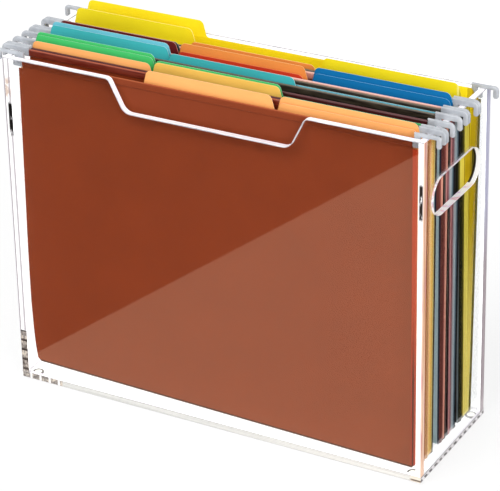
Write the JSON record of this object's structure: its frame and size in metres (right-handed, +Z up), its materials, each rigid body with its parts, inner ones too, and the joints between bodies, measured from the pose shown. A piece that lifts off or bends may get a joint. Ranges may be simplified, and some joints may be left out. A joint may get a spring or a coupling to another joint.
{
  "type": "hanging file organizer",
  "caption": "Clear acrylic desk box with loaded hanging folders on its end-panel rails, tabbed file folders, a notched front and handle slots.",
  "frame": {"origin": "centre of the bounding box's footprint, at the level of the surface that the pads rest on", "axes": "+X along the box's long side to the right, +Y from the notched front to the back, +Z up"},
  "size_m": [0.3332, 0.102, 0.2632],
  "materials": {
    "clear_acrylic": "polished",
    "clear_pad": "satin",
    "brown_card": "matte",
    "maroon_card": "matte",
    "black_card": "matte",
    "salmon_card": "matte",
    "peach_card": "matte",
    "mustard_card": "matte",
    "green_card": "matte",
    "teal_card": "matte",
    "orange_red_card": "matte",
    "dark_red_card": "matte",
    "orange_card": "matte",
    "slate_card": "matte",
    "blue_card": "matte",
    "yellow_card": "matte",
    "steel_strip": "satin",
    "hook_plastic": "gloss"
  },
  "bodies": {
    "box": {"base_panel": "clear_acrylic", "front_panel": "clear_acrylic", "back_panel": "clear_acrylic", "left_end_panel": "clear_acrylic", "right_end_panel": "clear_acrylic", "foot_front_left": "clear_pad", "foot_front_right": "clear_pad", "foot_back_left": "clear_pad", "foot_back_right": "clear_pad"},
    "hanging_folder_1": {"hanging_folder_1_jacket": "brown_card", "hanging_folder_1_front_rod": "steel_strip", "hanging_folder_1_back_rod": "steel_strip", "hanging_folder_1_hook_tips": "hook_plastic"},
    "peach_center": {"file_peach_center": "peach_card"},
    "peach_right_front": {"file_peach_right_front": "peach_card"},
    "peach_right_back": {"file_peach_right_back": "peach_card"},
    "hanging_folder_2": {"hanging_folder_2_jacket": "maroon_card", "hanging_folder_2_front_rod": "steel_strip", "hanging_folder_2_back_rod": "steel_strip", "hanging_folder_2_hook_tips": "hook_plastic"},
    "peach_left": {"file_peach_left": "peach_card"},
    "mustard_center": {"file_mustard_center": "mustard_card"},
    "green_center": {"file_green_center": "green_card"},
    "green_left_front": {"file_green_left_front": "green_card"},
    "green_left_back": {"file_green_left_back": "green_card"},
    "hanging_folder_3": {"hanging_folder_3_jacket": "black_card", "hanging_folder_3_front_rod": "steel_strip", "hanging_folder_3_back_rod": "steel_strip", "hanging_folder_3_hook_tips": "hook_plastic"},
    "teal_center": {"file_teal_center": "teal_card"},
    "teal_left_front": {"file_teal_left_front": "teal_card"},
    "teal_left_back": {"file_teal_left_back": "teal_card"},
    "hanging_folder_4": {"hanging_folder_4_jacket": "salmon_card", "hanging_folder_4_front_rod": "steel_strip", "hanging_folder_4_back_rod": "steel_strip", "hanging_folder_4_hook_tips": "hook_plastic"},
    "orange_red_center": {"file_orange_red_center": "orange_red_card"},
    "dark_red_left": {"file_dark_red_left": "dark_red_card"},
    "orange_center_front": {"file_orange_center_front": "orange_card"},
    "slate_left": {"file_slate_left": "slate_card"},
    "blue_right_front": {"file_blue_right_front": "blue_card"},
    "blue_right_back": {"file_blue_right_back": "blue_card"},
    "hanging_folder_5": {"hanging_folder_5_jacket": "black_card", "hanging_folder_5_front_rod": "steel_strip", "hanging_folder_5_back_rod": "steel_strip", "hanging_folder_5_hook_tips": "hook_plastic"},
    "orange_center_back": {"file_orange_center_back": "orange_card"},
    "yellow_right": {"file_yellow_right": "yellow_card"},
    "yellow_left_front": {"file_yellow_left_front": "yellow_card"},
    "yellow_left_back": {"file_yellow_left_back": "yellow_card"}
  },
  "joints": [
    {"name": "hanging_folder_1_lift", "type": "slide", "parent": "box", "child": "hanging_folder_1", "axis": [0, 0, 1], "range_m": [0, 0.26]},
    {"name": "peach_center_lift", "type": "slide", "parent": "hanging_folder_1", "child": "peach_center", "axis": [0, 0.0004, 1], "range_m": [0, 0.26]},
    {"name": "peach_right_front_lift", "type": "slide", "parent": "hanging_folder_1", "child": "peach_right_front", "axis": [0, 0.0002, 1], "range_m": [0, 0.26]},
    {"name": "peach_right_back_lift", "type": "slide", "parent": "hanging_folder_1", "child": "peach_right_back", "axis": [0, 0, 1], "range_m": [0, 0.26]},
    {"name": "hanging_folder_2_lift", "type": "slide", "parent": "box", "child": "hanging_folder_2", "axis": [0, 0, 1], "range_m": [0, 0.26]},
    {"name": "peach_left_lift", "type": "slide", "parent": "hanging_folder_2", "child": "peach_left", "axis": [0, 0.0002, 1], "range_m": [0, 0.26]},
    {"name": "mustard_center_lift", "type": "slide", "parent": "hanging_folder_2", "child": "mustard_center", "axis": [0, 0.0001, 1], "range_m": [0, 0.26]},
    {"name": "green_center_lift", "type": "slide", "parent": "hanging_folder_2", "child": "green_center", "axis": [0, 0, 1], "range_m": [0, 0.26]},
    {"name": "green_left_front_lift", "type": "slide", "parent": "hanging_folder_2", "child": "green_left_front", "axis": [0, -0.0001, 1], "range_m": [0, 0.26]},
    {"name": "green_left_back_lift", "type": "slide", "parent": "hanging_folder_2", "child": "green_left_back", "axis": [0, -0.0001, 1], "range_m": [0, 0.26]},
    {"name": "hanging_folder_3_lift", "type": "slide", "parent": "box", "child": "hanging_folder_3", "axis": [0, 0, 1], "range_m": [0, 0.26]},
    {"name": "teal_center_lift", "type": "slide", "parent": "hanging_folder_3", "child": "teal_center", "axis": [0, -0.0056, 1], "range_m": [0, 0.26]},
    {"name": "teal_left_front_lift", "type": "slide", "parent": "hanging_folder_3", "child": "teal_left_front", "axis": [0, -0.0038, 1], "range_m": [0, 0.26]},
    {"name": "teal_left_back_lift", "type": "slide", "parent": "hanging_folder_3", "child": "teal_left_back", "axis": [0, -0.002, 1], "range_m": [0, 0.26]},
    {"name": "hanging_folder_4_lift", "type": "slide", "parent": "box", "child": "hanging_folder_4", "axis": [0, 0, 1], "range_m": [0, 0.26]},
    {"name": "orange_red_center_lift", "type": "slide", "parent": "hanging_folder_4", "child": "orange_red_center", "axis": [0, -0.0065, 1], "range_m": [0, 0.26]},
    {"name": "dark_red_left_lift", "type": "slide", "parent": "hanging_folder_4", "child": "dark_red_left", "axis": [0, -0.0054, 1], "range_m": [0, 0.26]},
    {"name": "orange_center_front_lift", "type": "slide", "parent": "hanging_folder_4", "child": "orange_center_front", "axis": [0, -0.0044, 1], "range_m": [0, 0.26]},
    {"name": "slate_left_lift", "type": "slide", "parent": "hanging_folder_4", "child": "slate_left", "axis": [0, -0.0033, 1], "range_m": [0, 0.26]},
    {"name": "blue_right_front_lift", "type": "slide", "parent": "hanging_folder_4", "child": "blue_right_front", "axis": [0, -0.0023, 1], "range_m": [0, 0.26]},
    {"name": "blue_right_back_lift", "type": "slide", "parent": "hanging_folder_4", "child": "blue_right_back", "axis": [0, -0.0013, 1], "range_m": [0, 0.26]},
    {"name": "hanging_folder_5_lift", "type": "slide", "parent": "box", "child": "hanging_folder_5", "axis": [0, 0, 1], "range_m": [0, 0.26]},
    {"name": "orange_center_back_lift", "type": "slide", "parent": "hanging_folder_5", "child": "orange_center_back", "axis": [0, -0.0228, 0.9997], "range_m": [0, 0.26]},
    {"name": "yellow_right_lift", "type": "slide", "parent": "hanging_folder_5", "child": "yellow_right", "axis": [0, -0.0223, 0.9998], "range_m": [0, 0.26]},
    {"name": "yellow_left_front_lift", "type": "slide", "parent": "hanging_folder_5", "child": "yellow_left_front", "axis": [0, -0.0217, 0.9998], "range_m": [0, 0.26]},
    {"name": "yellow_left_back_lift", "type": "slide", "parent": "hanging_folder_5", "child": "yellow_left_back", "axis": [0, 0.0269, 0.9996], "range_m": [0, 0.26]}
  ]
}
